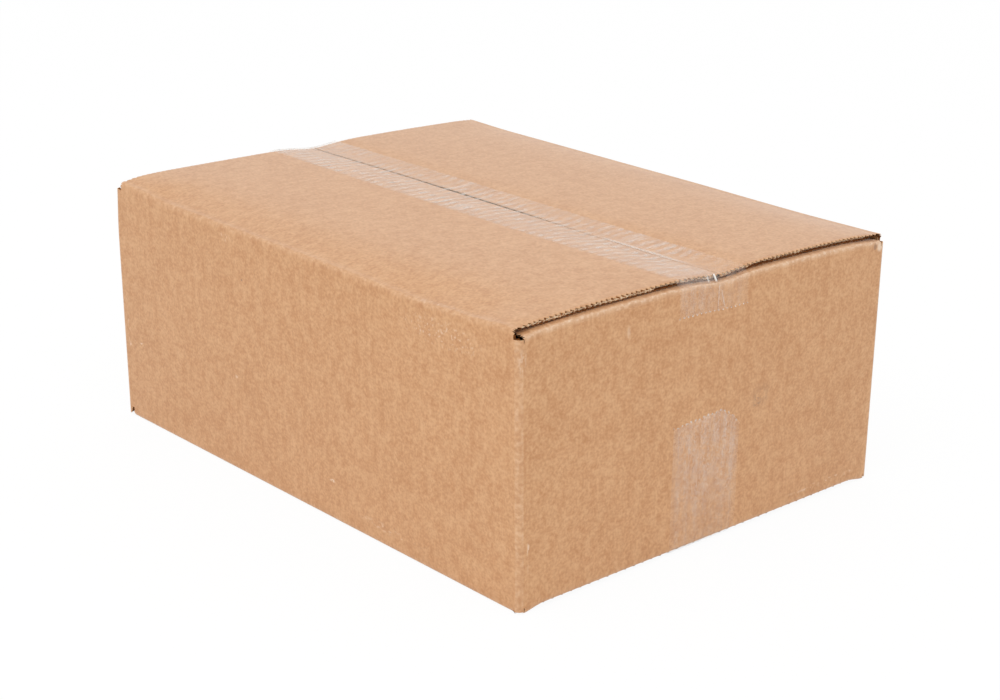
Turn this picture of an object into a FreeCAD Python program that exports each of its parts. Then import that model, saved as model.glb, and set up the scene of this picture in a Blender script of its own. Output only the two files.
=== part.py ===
import FreeCAD, Part
import math
import os

from FreeCAD import Vector

# A closed slotted carton, folded from one blank of corrugated board and taped top and bottom.
# Millimetres and degrees. The origin is on the ground under the middle of the carton,
# X along its length, Y along its width and Z up.

# Driving dimensions of the carton
inner_length = 330.0
inner_width = 250.0
inner_height = 125.0
board = 3.0                # thickness of the corrugated board
liner = 0.4                # thickness of each of its two flat faces
fold_inner_radius = 1.0
slot_width = 9.0           # slot cut between two neighbouring flaps
slot_end_drop = 5.0        # from the carton's top or bottom to the end of a slot
seam_gap = 1.0             # left between the two outer flaps
flap_clearance = 0.3       # air between an outer flap and the inner one behind it
flap_lift = 4.3            # slope at which a top flap springs up from its fold
flap_bend_radius = 1000.0  # long bend that brings it back down to the seam
edge_groove_depth = 1.6    # open flute along an edge that is cut parallel to the flutes
crushed_edge = 4.0         # length beside a fold where the flutes are pressed shut

# Driving dimensions of the glued joint at the corner towards -X and +Y
tab_width = 35.0
tab_taper = 9.0            # lost from each end of the tab towards its free edge
tab_clearance = 5.0        # from the tab's end to the fold above or below it
joint_step = 0.6           # from the lapped wall's free edge to the side wall's outer face

# Driving dimensions of the two strips of tape
tape_width = 48.0
tape_thickness = 0.05
tape_centre = -2.0         # the strips lie a little off the carton's middle
top_tape_drops = {+1: 16.0, -1: 55.0}     # down the end at +X and the end at -X
bottom_tape_drops = {+1: 64.0, -1: 50.0}  # up the same two ends
tape_tooth_pitch = 3.0
tape_tooth_height = 0.8

# Values that follow from them
outer_length = inner_length + 2 * board
outer_width = inner_width + 2 * board
outer_height = inner_height + 4 * board + 2 * flap_clearance
half_length = outer_length / 2
half_width = outer_width / 2
fold_outer_radius = fold_inner_radius + board
slot_setback = board / 2 + slot_width / 2
side_flap_end = half_length - slot_setback
end_flap_end = half_width - slot_setback
flap_reach = half_width - seam_gap / 2
side_top = outer_height
end_top = outer_height - board - flap_clearance
slot_low = slot_end_drop
slot_high = outer_height - slot_end_drop
joint_flap_end = half_length - board - fold_outer_radius
tape_low = tape_centre - tape_width / 2
tape_high = tape_centre + tape_width / 2

UP = Vector(0, 0, 1)
MIDDLE = Vector(0, 0, outer_height / 2)


def box(x_range, y_range, z_range):
    """A block between two values on each axis."""
    size = [high - low for low, high in (x_range, y_range, z_range)]
    return Part.makeBox(*size, Vector(x_range[0], y_range[0], z_range[0]))


def polar(centre, radius, angle):
    """The point (u, v) at an angle, anticlockwise from u, around a centre (u, v)."""
    turn = math.radians(angle)
    return (centre[0] + radius * math.cos(turn), centre[1] + radius * math.sin(turn))


def arc(centre, radius, start, end, place):
    """An arc edge about a centre (u, v), put in space by place."""
    points = [polar(centre, radius, angle) for angle in (start, (start + end) / 2, end)]
    return Part.Arc(*[place(*point) for point in points]).toShape()


def line(start, end, place):
    """A straight edge between two points (u, v), put in space by place."""
    return Part.LineSegment(place(*start), place(*end)).toShape()


def outline_through(corners, place):
    """The closed outline of straight edges through the corners (u, v)."""
    return [line(corners[i - 1], corners[i], place) for i in range(len(corners))]


def across(x):
    """Puts a point (u, v) at Y = u and Z = v on the plane at x."""
    return lambda u, v: Vector(x, u, v)


def along(y):
    """Puts a point (u, v) at X = u and Z = v on the plane at y."""
    return lambda u, v: Vector(u, y, v)


def prism(edges, travel):
    """The solid that a closed outline sweeps along a straight travel."""
    return Part.Face(Part.Wire(Part.__sortEdges__(edges))).extrude(travel)


def fold_centre(half_depth, top):
    """The centre (u, v) of the fold at the top of a wall that stands at u = -half_depth."""
    return (fold_outer_radius - half_depth, top - fold_outer_radius)


def bend_centre():
    """The centre (u, v) of the long bend of the outer top flap that is hinged at -Y."""
    fold = fold_centre(half_width, side_top)
    return polar(fold, flap_bend_radius - fold_outer_radius, flap_lift - 90)


def bend_angle(u):
    """The angle on the long bend, anticlockwise from u, at which the outer face is over u."""
    return math.degrees(math.acos((u - bend_centre()[0]) / flap_bend_radius))


def flat_flap(half_depth, top, ends):
    """A flat flap and its fold, above a wall that stands at Y = -half_depth."""
    fold = fold_centre(half_depth, top)
    tip = flap_reach - half_depth
    place = across(ends[0])
    outer_face = line((fold[0], top), (tip, top), place)
    inner_face = line((fold[0], top - board), (tip, top - board), place)
    outline = [
        arc(fold, fold_outer_radius, 180, 90, place), outer_face,
        line((tip, top), (tip, top - board), place), inner_face,
        arc(fold, fold_inner_radius, 90, 180, place),
        line((-half_depth, fold[1]), (board - half_depth, fold[1]), place),
    ]
    flap = prism(outline, Vector(ends[1] - ends[0], 0, 0))
    grooved = (fold[0] + crushed_edge, tip)
    height = (top - board + liner, top - liner)
    for end, inward in zip(ends, (1, -1)):
        reach = sorted((end, end + inward * edge_groove_depth))
        flap = flap.cut(box(reach, grooved, height))
    return flap


def bent_layer(ends, depths, start):
    """Part of the outer top flap between two depths below its outer face, from start to seam."""
    centre = bend_centre()
    tip = bend_angle(-seam_gap / 2)
    place = across(ends[0])
    radii = [flap_bend_radius - depth for depth in depths]
    corners = [polar(centre, radius, angle) for angle in (start, tip) for radius in radii]
    outline = [
        arc(centre, radii[0], start, tip, place), line(corners[2], corners[3], place),
        arc(centre, radii[1], tip, start, place), line(corners[1], corners[0], place),
    ]
    return prism(outline, Vector(ends[1] - ends[0], 0, 0))


def bent_flap(ends):
    """The outer top flap at -Y: its fold springs it up, and its long bend brings it down."""
    fold = fold_centre(half_width, side_top)
    rise = 90 + flap_lift
    place = across(ends[0])
    fold_outline = [
        arc(fold, fold_outer_radius, 180, rise, place),
        line(polar(fold, fold_outer_radius, rise), polar(fold, fold_inner_radius, rise), place),
        arc(fold, fold_inner_radius, rise, 180, place),
        line((-half_width, fold[1]), (board - half_width, fold[1]), place),
    ]
    travel = Vector(ends[1] - ends[0], 0, 0)
    flap = prism(fold_outline, travel).fuse(bent_layer(ends, (0, board), rise))
    groove_start = bend_angle(fold[0] + crushed_edge)
    for end, inward in zip(ends, (1, -1)):
        reach = sorted((end, end + inward * edge_groove_depth))
        flap = flap.cut(bent_layer(reach, (liner, board - liner), groove_start))
    return flap


def upright_fold(centre_x, centre_y, start, z_range):
    """A quarter tube where two walls meet, from the angle start to 90 degrees beyond it."""
    foot = Vector(centre_x, centre_y, z_range[0])
    height = z_range[1] - z_range[0]
    outer = Part.makeCylinder(fold_outer_radius, height, foot, UP, 90)
    inner = Part.makeCylinder(fold_inner_radius, height, foot, UP, 90)
    quarter = outer.cut(inner)
    quarter.rotate(foot, UP, start)
    return quarter


def folded_corner(side_x, side_y):
    """A corner where two walls fold into each other, between its two slots."""
    centre_x = half_length - fold_outer_radius
    centre_y = half_width - fold_outer_radius
    height = (slot_low, slot_high)
    start = {(1, 1): 0, (-1, 1): 90, (-1, -1): 180, (1, -1): 270}[side_x, side_y]
    fold = upright_fold(side_x * centre_x, side_y * centre_y, start, height)
    side_x_range = sorted((side_x * side_flap_end, side_x * centre_x))
    side_y_range = sorted((side_y * half_width, side_y * (half_width - board)))
    end_x_range = sorted((side_x * half_length, side_x * (half_length - board)))
    end_y_range = sorted((side_y * end_flap_end, side_y * centre_y))
    side_strip = box(side_x_range, side_y_range, height)
    end_strip = box(end_x_range, end_y_range, height)
    return fold.fuse([side_strip, end_strip])


def glued_corner():
    """The maker's joint: the side wall at +Y folds into a tab glued inside the end wall at -X."""
    height = (slot_low, slot_high)
    centre_y = half_width - fold_outer_radius
    fold = upright_fold(-joint_flap_end, centre_y, 90, height)
    free_edge = half_width - joint_step
    lap = box((-half_length, board - half_length), (end_flap_end, free_edge), height)
    groove_x = (liner - half_length, board - liner - half_length)
    lap = lap.cut(box(groove_x, (free_edge - edge_groove_depth, free_edge), height))
    low = board + flap_clearance + fold_outer_radius + tab_clearance
    high = outer_height - low
    tip = centre_y - tab_width
    place = across(board - half_length)
    corners = [(centre_y, low), (centre_y, high), (tip, high - tab_taper), (tip, low + tab_taper)]
    tab = prism(outline_through(corners, place), Vector(board, 0, 0))
    return fold.fuse([lap, tab])


def around(shape, turns):
    """A copy of a shape turned about the carton's upright middle by quarter turns."""
    copy = shape.copy()
    copy.rotate(Vector(0, 0, 0), UP, 90 * turns)
    return copy


def upside_down(shape):
    """The mirror image of a shape between the carton's top and its bottom."""
    return shape.mirror(MIDDLE, UP)


def walls():
    """The two side walls and the two end walls, each between its own two folds."""
    side_height = (fold_outer_radius, side_top - fold_outer_radius)
    end_low = board + flap_clearance + fold_outer_radius
    end_height = (end_low, outer_height - end_low)
    near = (-half_width, board - half_width)
    far = (half_width - board, half_width)
    left = (-half_length, board - half_length)
    right = (half_length - board, half_length)
    side_ends = (-side_flap_end, side_flap_end)
    end_ends = (-end_flap_end, end_flap_end)
    return [
        box(side_ends, near, side_height),
        box((-joint_flap_end, side_flap_end), far, side_height),
        box(left, end_ends, end_height),
        box(right, end_ends, end_height),
    ]


def flaps():
    """The four inner flaps, and the four outer flaps that close over them."""
    near_ends = (-side_flap_end, side_flap_end)
    far_ends = (-side_flap_end, joint_flap_end)
    end_ends = (-end_flap_end, end_flap_end)
    inner = flat_flap(half_length, end_top, end_ends)
    result = [around(inner, 1), around(inner, 3)]
    result += [upside_down(flap) for flap in result]
    result += [bent_flap(near_ends), around(bent_flap(far_ends), 2)]
    result.append(upside_down(flat_flap(half_width, side_top, near_ends)))
    result.append(upside_down(around(flat_flap(half_width, side_top, far_ends), 2)))
    return result


def tape_bed():
    """The shallow bed in the outer bottom flaps that the carton's weight presses the tape into."""
    return box((-side_flap_end, side_flap_end), (tape_low, tape_high), (0, tape_thickness))


def carton():
    """The whole folded blank as one solid."""
    corners = [folded_corner(1, 1), folded_corner(1, -1), folded_corner(-1, -1), glued_corner()]
    pieces = walls() + corners + flaps()
    whole = pieces[0].fuse(pieces[1:]).cut(tape_bed())
    return whole.removeSplitter()


def top_profile(x, rise):
    """The line across the outer top flaps and their seam under the tape, raised by rise."""
    place = across(x)
    centre = bend_centre()
    radius = flap_bend_radius + rise
    left = [bend_angle(tape_low), bend_angle(-seam_gap / 2)]
    right = [180 - bend_angle(-seam_gap / 2), 180 - bend_angle(-tape_high)]
    far_centre = (-centre[0], centre[1])
    lip = [polar(centre, radius, left[1]), polar(far_centre, radius, right[0])]
    return [
        arc(centre, radius, left[0], left[1], place), line(lip[0], lip[1], place),
        arc(far_centre, radius, right[0], right[1], place),
    ]


def level_profile(x, height):
    """A level line as wide as the tape, in the same three stretches as the line over the seam."""
    place = across(x)
    stops = [tape_low, -seam_gap / 2, seam_gap / 2, tape_high]
    return [line((a, height), (b, height), place) for a, b in zip(stops, stops[1:])]


def tape_section(under, over):
    """The closed wire between the tape's under line and its over line."""
    starts = [chain[0].Vertexes[0].Point for chain in (under, over)]
    stops = [chain[-1].Vertexes[-1].Point for chain in (under, over)]
    sides = [Part.LineSegment(*pair).toShape() for pair in (starts, stops)]
    return Part.Wire(Part.__sortEdges__(under + over + sides))


def touching_angle(x, z, centre):
    """The angle on an end wall's fold at which a line from (x, z) lies against its outside."""
    distance = math.hypot(x - centre[0], z - centre[1])
    heading = math.degrees(math.atan2(z - centre[1], x - centre[0]))
    return heading - math.degrees(math.acos(fold_outer_radius / distance))


def tape_end(leaving, leaving_height, drop):
    """The tape from the flap's end at +X over the end wall's fold and down to its cut edge."""
    centre = (half_length - fold_outer_radius, end_top - fold_outer_radius)
    angle = touching_angle(side_flap_end, leaving_height, centre)
    radii = (fold_outer_radius, fold_outer_radius + tape_thickness)
    touch = [polar(centre, radius, angle) for radius in radii]
    landing = tape_section(*[level_profile(x, z) for x, z in touch])
    bridge = Part.makeLoft([leaving, landing], True, True)
    cut_height = outer_height - drop
    inside, outside = half_length, half_length + tape_thickness
    place = along(tape_low)
    wrap = prism([
        arc(centre, radii[0], angle, 0, place),
        line((inside, centre[1]), (inside, cut_height), place),
        line((inside, cut_height), (outside, cut_height), place),
        line((outside, cut_height), (outside, centre[1]), place),
        arc(centre, radii[1], 0, angle, place),
        line(touch[0], touch[1], place),
    ], Vector(0, tape_width, 0))
    return bridge.fuse(wrap.cut(cut_teeth(cut_height)))


def cut_teeth(cut_height):
    """The row of notches that a serrated blade leaves along the tape's cut edge at +X."""
    count = round(tape_width / tape_tooth_pitch)
    pitch = tape_width / count
    peak = cut_height + tape_tooth_height
    notches = []
    for index in range(count):
        start = tape_low + index * pitch
        corners = [(start, cut_height), (start + pitch / 2, peak), (start + pitch, cut_height)]
        edges = outline_through(corners, across(half_length))
        notches.append(prism(edges, Vector(tape_thickness, 0, 0)))
    return Part.makeCompound(notches)


def strip(under_line, over_line, leaving_height, drops):
    """A strip of tape over the flaps, from its cut edge at one end wall to that at the other."""
    run = Part.Face(tape_section(under_line(-side_flap_end), over_line(-side_flap_end)))
    whole = run.extrude(Vector(2 * side_flap_end, 0, 0))
    leaving = tape_section(under_line(side_flap_end), over_line(side_flap_end))
    near = tape_end(leaving, leaving_height, drops[+1])
    far = tape_end(leaving, leaving_height, drops[-1]).mirror(Vector(0, 0, 0), Vector(1, 0, 0))
    return whole.fuse([near, far]).removeSplitter()


def top_tape():
    """The strip that closes the top, following the lifted flaps and crossing their seam."""
    centre = bend_centre()
    lip = polar(centre, flap_bend_radius, bend_angle(-seam_gap / 2))
    return strip(
        lambda x: top_profile(x, 0), lambda x: top_profile(x, tape_thickness),
        lip[1], top_tape_drops)


def bottom_tape():
    """The strip that closes the bottom, pressed flush into the flaps that the carton stands on."""
    under_height = outer_height - tape_thickness
    tape = strip(
        lambda x: level_profile(x, under_height), lambda x: level_profile(x, outer_height),
        under_height, bottom_tape_drops)
    return upside_down(tape)


os.makedirs("parts", exist_ok=True)
for name, shape in (("carton", carton()), ("top_tape", top_tape()), ("bottom_tape", bottom_tape())):
    solid = shape.Solids[0]
    print(name, len(shape.Solids), solid.isValid(), round(solid.Volume, 1), solid.BoundBox)
    solid.exportStep(f"parts/{name}.step")
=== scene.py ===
"""A closed, taped carton of corrugated board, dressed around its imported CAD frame.

Lengths are millimetres until a mesh is made, and angles are degrees.
"""

import logging
import math
from dataclasses import dataclass, field
from enum import Enum
from typing import Callable, Sequence, Union

import bmesh
import bpy
import numpy as np
from mathutils import Matrix, Vector


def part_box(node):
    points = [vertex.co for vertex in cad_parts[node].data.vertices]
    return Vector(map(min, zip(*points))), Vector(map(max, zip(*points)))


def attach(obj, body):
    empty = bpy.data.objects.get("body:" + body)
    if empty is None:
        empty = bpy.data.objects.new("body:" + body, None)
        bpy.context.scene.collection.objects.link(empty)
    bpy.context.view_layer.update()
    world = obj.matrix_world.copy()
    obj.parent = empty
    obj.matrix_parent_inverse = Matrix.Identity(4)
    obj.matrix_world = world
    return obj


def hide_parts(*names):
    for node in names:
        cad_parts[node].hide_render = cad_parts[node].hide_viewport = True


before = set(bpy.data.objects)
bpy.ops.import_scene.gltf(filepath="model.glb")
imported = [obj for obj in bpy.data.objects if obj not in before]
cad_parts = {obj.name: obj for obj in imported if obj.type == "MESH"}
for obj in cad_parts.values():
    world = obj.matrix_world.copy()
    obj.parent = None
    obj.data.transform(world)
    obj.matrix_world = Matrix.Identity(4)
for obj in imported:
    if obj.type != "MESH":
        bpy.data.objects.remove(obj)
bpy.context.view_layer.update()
log = logging.getLogger("carton")

METRES = 0.001  # metres in a millimetre
FLUTE_PITCH = 6.5
FLUTE_WAVE = 2 * math.pi / FLUTE_PITCH  # from a length to the angle of the flutes' wave
FILM_CREASE = 60.0  # degrees
Knots = Sequence[tuple[float, float]]
Number = Union[float, np.ndarray]


def smooth(value: Number, start: float, stop: float) -> Number:
    """Eases from 0 at start to 1 at stop."""
    share = np.clip((value - start) / (stop - start), 0.0, 1.0)
    return share * share * (3.0 - 2.0 * share)


def eased(knots: Knots, value: Number) -> Number:
    """Reads a curve that runs level through its knots.

    Args:
        knots: pairs of position and height, in rising position.
        value: the positions to read at.

    Returns:
        The heights, held at the first and last knots beyond them.
    """
    places = np.array([knot[0] for knot in knots])
    heights = np.array([knot[1] for knot in knots])
    value = np.clip(value, places[0], places[-1])
    index = np.clip(np.searchsorted(places, value, side="right") - 1, 0, len(places) - 2)
    share = (value - places[index]) / (places[index + 1] - places[index])
    share = share * share * (3.0 - 2.0 * share)
    return heights[index] + share * (heights[index + 1] - heights[index])


def hill(value: Number, width: float) -> Number:
    """A bell that is 1 at 0 and has nearly gone at twice the width."""
    return np.exp(-(value / width) ** 2)


# Sizes


@dataclass(frozen=True)
class Board:
    """The corrugated board and how it is cut and folded."""

    thickness: float = 3.0
    liner: float = 0.4
    fold_radius: float = 3.2
    post_width: float = 0.5          # from an upright fold to the slot beside a flap
    slot_drop: float = 5.0
    flap_clearance: float = 0.3
    flap_reach: float = 127.5
    tab_width: float = 35.0
    tab_taper: float = 9.0
    tab_clearance: float = 5.0
    joint_step: float = 0.6
    tab_air: float = 0.05
    side_flap_setback: float = 3.7   # from the carton's outer face to a flap's cut edge
    far_setback: float = 6.6         # the same at the carton's far end
    tooth_step: float = 1.55         # half the pitch of the slotting knife's teeth
    tooth_depth: float = 0.75
    tooth_sink: float = 0.3          # how far the liner's teeth are pressed down
    lower_setback: float = 0.9       # how far the lower liner is torn back
    groove_depth: float = 3.4
    plain_groove: float = 0.35
    fold_squareness: float = 0.55    # 1 is a round fold, and less is a sharper one
    fold_press: float = 0.48         # share of the thickness left where a fold is pressed
    press_reach: float = 13.0

    def fold_shape(self, turn: float) -> tuple[float, float]:
        """A point on a fold of unit radius, out and up, at an angle in radians from its outer side."""
        out, up = (max(value, 0.0) ** self.fold_squareness if value > 1e-6 else 0.0
                   for value in (math.cos(turn), math.sin(turn)))
        return out, up


@dataclass(frozen=True)
class Carton:
    """The carton's outer sizes, read from the frame, and the board it is made of."""

    half_length: float
    half_width: float
    height: float = 137.6
    board: Board = field(default_factory=Board)

    @classmethod
    def from_frame(cls) -> "Carton":
        """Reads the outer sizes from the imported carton."""
        low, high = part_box("carton")
        return cls(high.x / METRES, high.y / METRES)

    @property
    def end_top(self) -> float:
        """Height of the inner flaps' outer faces."""
        return self.height - self.board.thickness - self.board.flap_clearance


# How far the used carton is from a true box


@dataclass(frozen=True)
class Settling:
    """The lean, sag and soft folds of the used carton, as moves of its true shape."""

    carton: Carton
    corner_moves: tuple = (
        ((-1, -1, -1), (1.2, 0.7, 0.0)),
        ((1, -1, -1), (1.6, -0.3, 0.0)),
        ((1, 1, -1), (0.8, -0.2, 0.0)),
        ((1, 1, 1), (0.0, -0.2, -0.6)),
        ((-1, 1, 1), (0.0, -0.1, -0.8)),
        ((-1, -1, 1), (-0.2, -0.6, 0.0)),
        ((1, -1, 1), (-1.0, -1.8, 0.5)),
    )
    near_sag: Knots = ((-166, 0.7), (-146, 0.1), (-115, -1.8), (40, -1.7), (100, -2.4), (128, -1.4),
                       (160, 0.9))
    far_sag: Knots = ((-166, 0.9), (-121, 0.1), (16, -0.1), (112, -0.7), (160, -0.3))
    sag_reach: float = 20.0
    sag_foot: float = 85.0
    upright_softness: Knots = ((0, 0.2), (45, 0.5), (80, 0.3), (120, 0.0))
    upright_reach: float = 8.0
    end_droop: float = 1.8           # how far the end walls' lower folds bulge down
    foot_droop: float = 2.4          # how much further the corner posts reach down
    far_tuck: float = 1.8            # how far the top of the far end wall leans in
    end_band: tuple = (3.9, 1.8)     # where an end's bulge starts and is full, from its outer face
    post_bands: tuple = ((163.9, 164.6), (111, 128))   # where the corner posts start, in x and y
    foot_band: tuple = (18, 5)       # heights at which the droop starts and is full
    tuck_bands: tuple = ((105, 138), (145, 165))       # the same for the lean, in z and -x
    bulge_bands: tuple = ((150, 168), (110, 128))      # where the end and side walls lie
    ground: float = 0.02
    dents: tuple = (
        ((168, 128, 131), 6.0, (0, 0, 1.2)),
        ((168, -128, 0), 5.0, (-0.2, 0.2, 0.0)),
    )
    panel_bulge: float = 0.5

    def settled(self, points: np.ndarray) -> np.ndarray:
        """Moves true points to where they lie on the used carton.

        Args:
            points: an array of rows x, y, z.

        Returns:
            A new array of the same shape.
        """
        c = self.carton
        x, y, z = points[:, 0], points[:, 1], points[:, 2]
        moved = points.copy()
        share = [(x / c.half_length + 1) / 2, (y / c.half_width + 1) / 2, z / c.height]
        for sides, move in self.corner_moves:
            weight = np.ones(len(points))
            for value, side in zip(share, sides):
                weight = weight * (value if side > 0 else 1 - value)
            moved += weight[:, None] * np.array(move)
        rise = smooth(z, self.sag_foot, c.height - c.board.fold_radius)
        for sag, side in ((self.near_sag, -1), (self.far_sag, 1)):
            inset = np.maximum(c.half_width - 1 - side * y, 0)
            moved[:, 2] += rise * eased(sag, x) * hill(inset, self.sag_reach)
        edge = np.maximum(c.half_length - x, 0) + np.maximum(y + c.half_width, 0)
        soft = eased(self.upright_softness, z) * hill(edge, self.upright_reach)
        moved[:, 0] -= soft * math.sqrt(0.5)
        moved[:, 1] += soft * math.sqrt(0.5)
        for middle, reach, move in self.dents:
            distance = np.linalg.norm(points - np.array(middle), axis=1)
            moved += hill(distance, reach)[:, None] * np.array(move)
        ends = smooth(np.abs(x), *(c.half_length - inset for inset in self.end_band))
        posts = smooth(np.abs(x), *self.post_bands[0]) * smooth(np.abs(y), *self.post_bands[1])
        droop = (self.end_droop * ends + (self.foot_droop + self.end_droop * (1 - ends)) * posts)
        droop = droop * smooth(z, *self.foot_band)
        moved[:, 2] = np.maximum(moved[:, 2] - droop, np.minimum(z, self.ground))
        moved[:, 0] += (self.far_tuck * smooth(z, *self.tuck_bands[0])
                        * smooth(-x, *self.tuck_bands[1]))
        upright = np.sin(math.pi * np.clip(z / c.height, 0, 1))
        halves = (c.half_length, c.half_width)
        for axis, band in enumerate(self.bulge_bands):
            value, other = points[:, axis], points[:, 1 - axis]
            swell = np.cos(math.pi * other / (2 * halves[1 - axis])) * upright
            moved[:, axis] += self.panel_bulge * swell * smooth(np.abs(value), *band) * np.sign(value)
        return moved


@dataclass(frozen=True)
class Lid:
    """The height of the two outer top flaps above the level of their folds."""

    near_crown: Knots = ((-162, 2.8), (0, 2.5), (162, 3.5))
    far_crown: Knots = ((-162, 2.4), (0, 2.2), (162, 2.8))
    near_rise: Knots = ((-162, 10.0), (-60, 17.0), (162, 20.0))
    far_rise: float = 20.0
    fold_inset: float = 4.0   # from the carton's side to where a flap starts to rise
    dip: Knots = ((-162, 2.1), (-60, 1.4), (20, 1.4), (90, 2.2), (130, 2.3), (162, 1.7))
    dip_width: float = 17.0
    blend_reach: float = 12.0
    seam_path: Knots = ((-162, 3.2), (0, 3.7), (162, 3.7))
    seam_opening: Knots = ((-162, 1.5), (-60, 1.7), (-45, 2.3), (20, 1.9), (50, 1.1), (90, 0.6), (162, 0.4))

    def crown(self, x: Number, y: Number, half_width: float) -> Number:
        """Height over the fold level at a place on the lid."""
        start = half_width - self.fold_inset
        into_near, into_far = np.maximum(start + y, 0), np.maximum(start - y, 0)
        near = eased(self.near_crown, x) * (1 - np.exp(-into_near / eased(self.near_rise, x)))
        far = eased(self.far_crown, x) * (1 - np.exp(-into_far / self.far_rise))
        blend = smooth(y, -self.blend_reach, self.blend_reach)
        seam = eased(self.seam_path, x)
        return near * (1 - blend) + far * blend - eased(self.dip, x) * hill(y - seam, self.dip_width)


# Meshes


@dataclass
class Shell:
    """Points, faces and per-point values of one closed piece."""

    points: list = field(default_factory=list)
    faces: list = field(default_factory=list)
    flat: list = field(default_factory=list)
    cut: list = field(default_factory=list)
    wear_and_highlight: list = field(default_factory=list)

    def point(self, place: Sequence[float], flat: Sequence[float], cut: float = 0.0,
              wear_and_highlight: float = 0.0) -> int:
        """Adds a point.

        Args:
            place: x, y, z.
            flat: where the point lies on the flat sheet, across its flutes, along them and deep.
            cut: 0 on a face of the sheet, 0.5 on a cut edge of a liner and 1 inside the flutes.
            wear_and_highlight: 0 to 1 for folds that are rubbed pale, and more on the end walls' upper
                folds, where it also paints a highlight on their lit crest.

        Returns:
            The point's index.
        """
        self.points.append(tuple(place))
        self.flat.append(tuple(flat))
        self.cut.append(cut)
        self.wear_and_highlight.append(wear_and_highlight)
        return len(self.points) - 1

    def build(self, name: str, settling: Settling, finish: bpy.types.Material,
              crease: float = 38.0) -> bpy.types.Object:
        """Makes the Blender object.

        Args:
            name: the piece's name.
            settling: the moves that every piece follows.
            finish: the piece's material.
            crease: angle above which an edge is drawn sharp.

        Returns:
            The new object, linked to the scene.
        """
        places = settling.settled(np.array(self.points, float)) * METRES
        mesh = bpy.data.meshes.new(name)
        mesh.from_pydata(places.tolist(), [], self.faces)
        for key, kind, part, values in (("flat", "FLOAT_VECTOR", "vector", self.flat),
                                        ("cut", "FLOAT", "value", self.cut),
                                        ("wear_and_highlight", "FLOAT", "value", self.wear_and_highlight)):
            layer = mesh.attributes.new(key, kind, "POINT")
            layer.data.foreach_set(part, np.array(values, np.float32).ravel())
        body = bmesh.new()
        body.from_mesh(mesh)
        bmesh.ops.recalc_face_normals(body, faces=body.faces[:])
        body.to_mesh(mesh)
        body.free()
        mesh.shade_smooth()
        mesh.set_sharp_from_angle(angle=math.radians(crease))
        mesh.materials.append(finish)
        piece = linked(name, mesh)
        triangles = sum(len(face.vertices) - 2 for face in mesh.polygons)
        log.info("%s: %d points, %d triangles", name, len(mesh.vertices), triangles)
        return piece


def linked(name: str, data: bpy.types.ID) -> bpy.types.Object:
    """A new object in the scene."""
    made = bpy.data.objects.new(name, data)
    bpy.context.scene.collection.objects.link(made)
    return made


def spaced(length: float, fine: Sequence[float], coarse: float, both: bool = True) -> list[float]:
    """Stations along a length, close together at its ends.

    Args:
        length: the whole length.
        fine: stations near the start, mirrored at the end if both is true.
        coarse: the longest step between the others.
        both: whether the far end is as fine as the start.

    Returns:
        Rising stations from 0 to length.
    """
    head = [station for station in fine if station < length / 2]
    tail = [length - station for station in reversed(head)] if both else [length]
    count = max(1, math.ceil((tail[0] - head[-1]) / coarse))
    step = (tail[0] - head[-1]) / count
    return head + [head[-1] + step * index for index in range(1, count)] + tail


class Kind(Enum):
    """The kinds of upright strip that the blank is made of."""

    POST = "post"
    SLIT = "foot of a slot on an end wall"
    SIDE = "side wall with its flaps"
    END = "end wall with its flaps"
    TAB = "tab"


@dataclass(frozen=True)
class Column:
    """An upright line on the outer face of the blank."""

    x: float
    y: float
    out: tuple
    travel: float


@dataclass(frozen=True)
class Place:
    """A point on the blank's outer face with its three directions."""

    at: np.ndarray
    out: np.ndarray
    along: np.ndarray    # towards higher rows
    across: np.ndarray   # towards higher columns
    flat: tuple
    wear_and_highlight: float = 0.0
    press: float = 1.0   # share of the sheet's thickness that is left

    def deep(self, depth: float, along: float = 0.0, across: float = 0.0) -> np.ndarray:
        """The point at a depth below the outer face, moved in the sheet's own directions."""
        return (self.at - depth * self.press * self.out + along * self.along
                + across * self.across)


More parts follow.
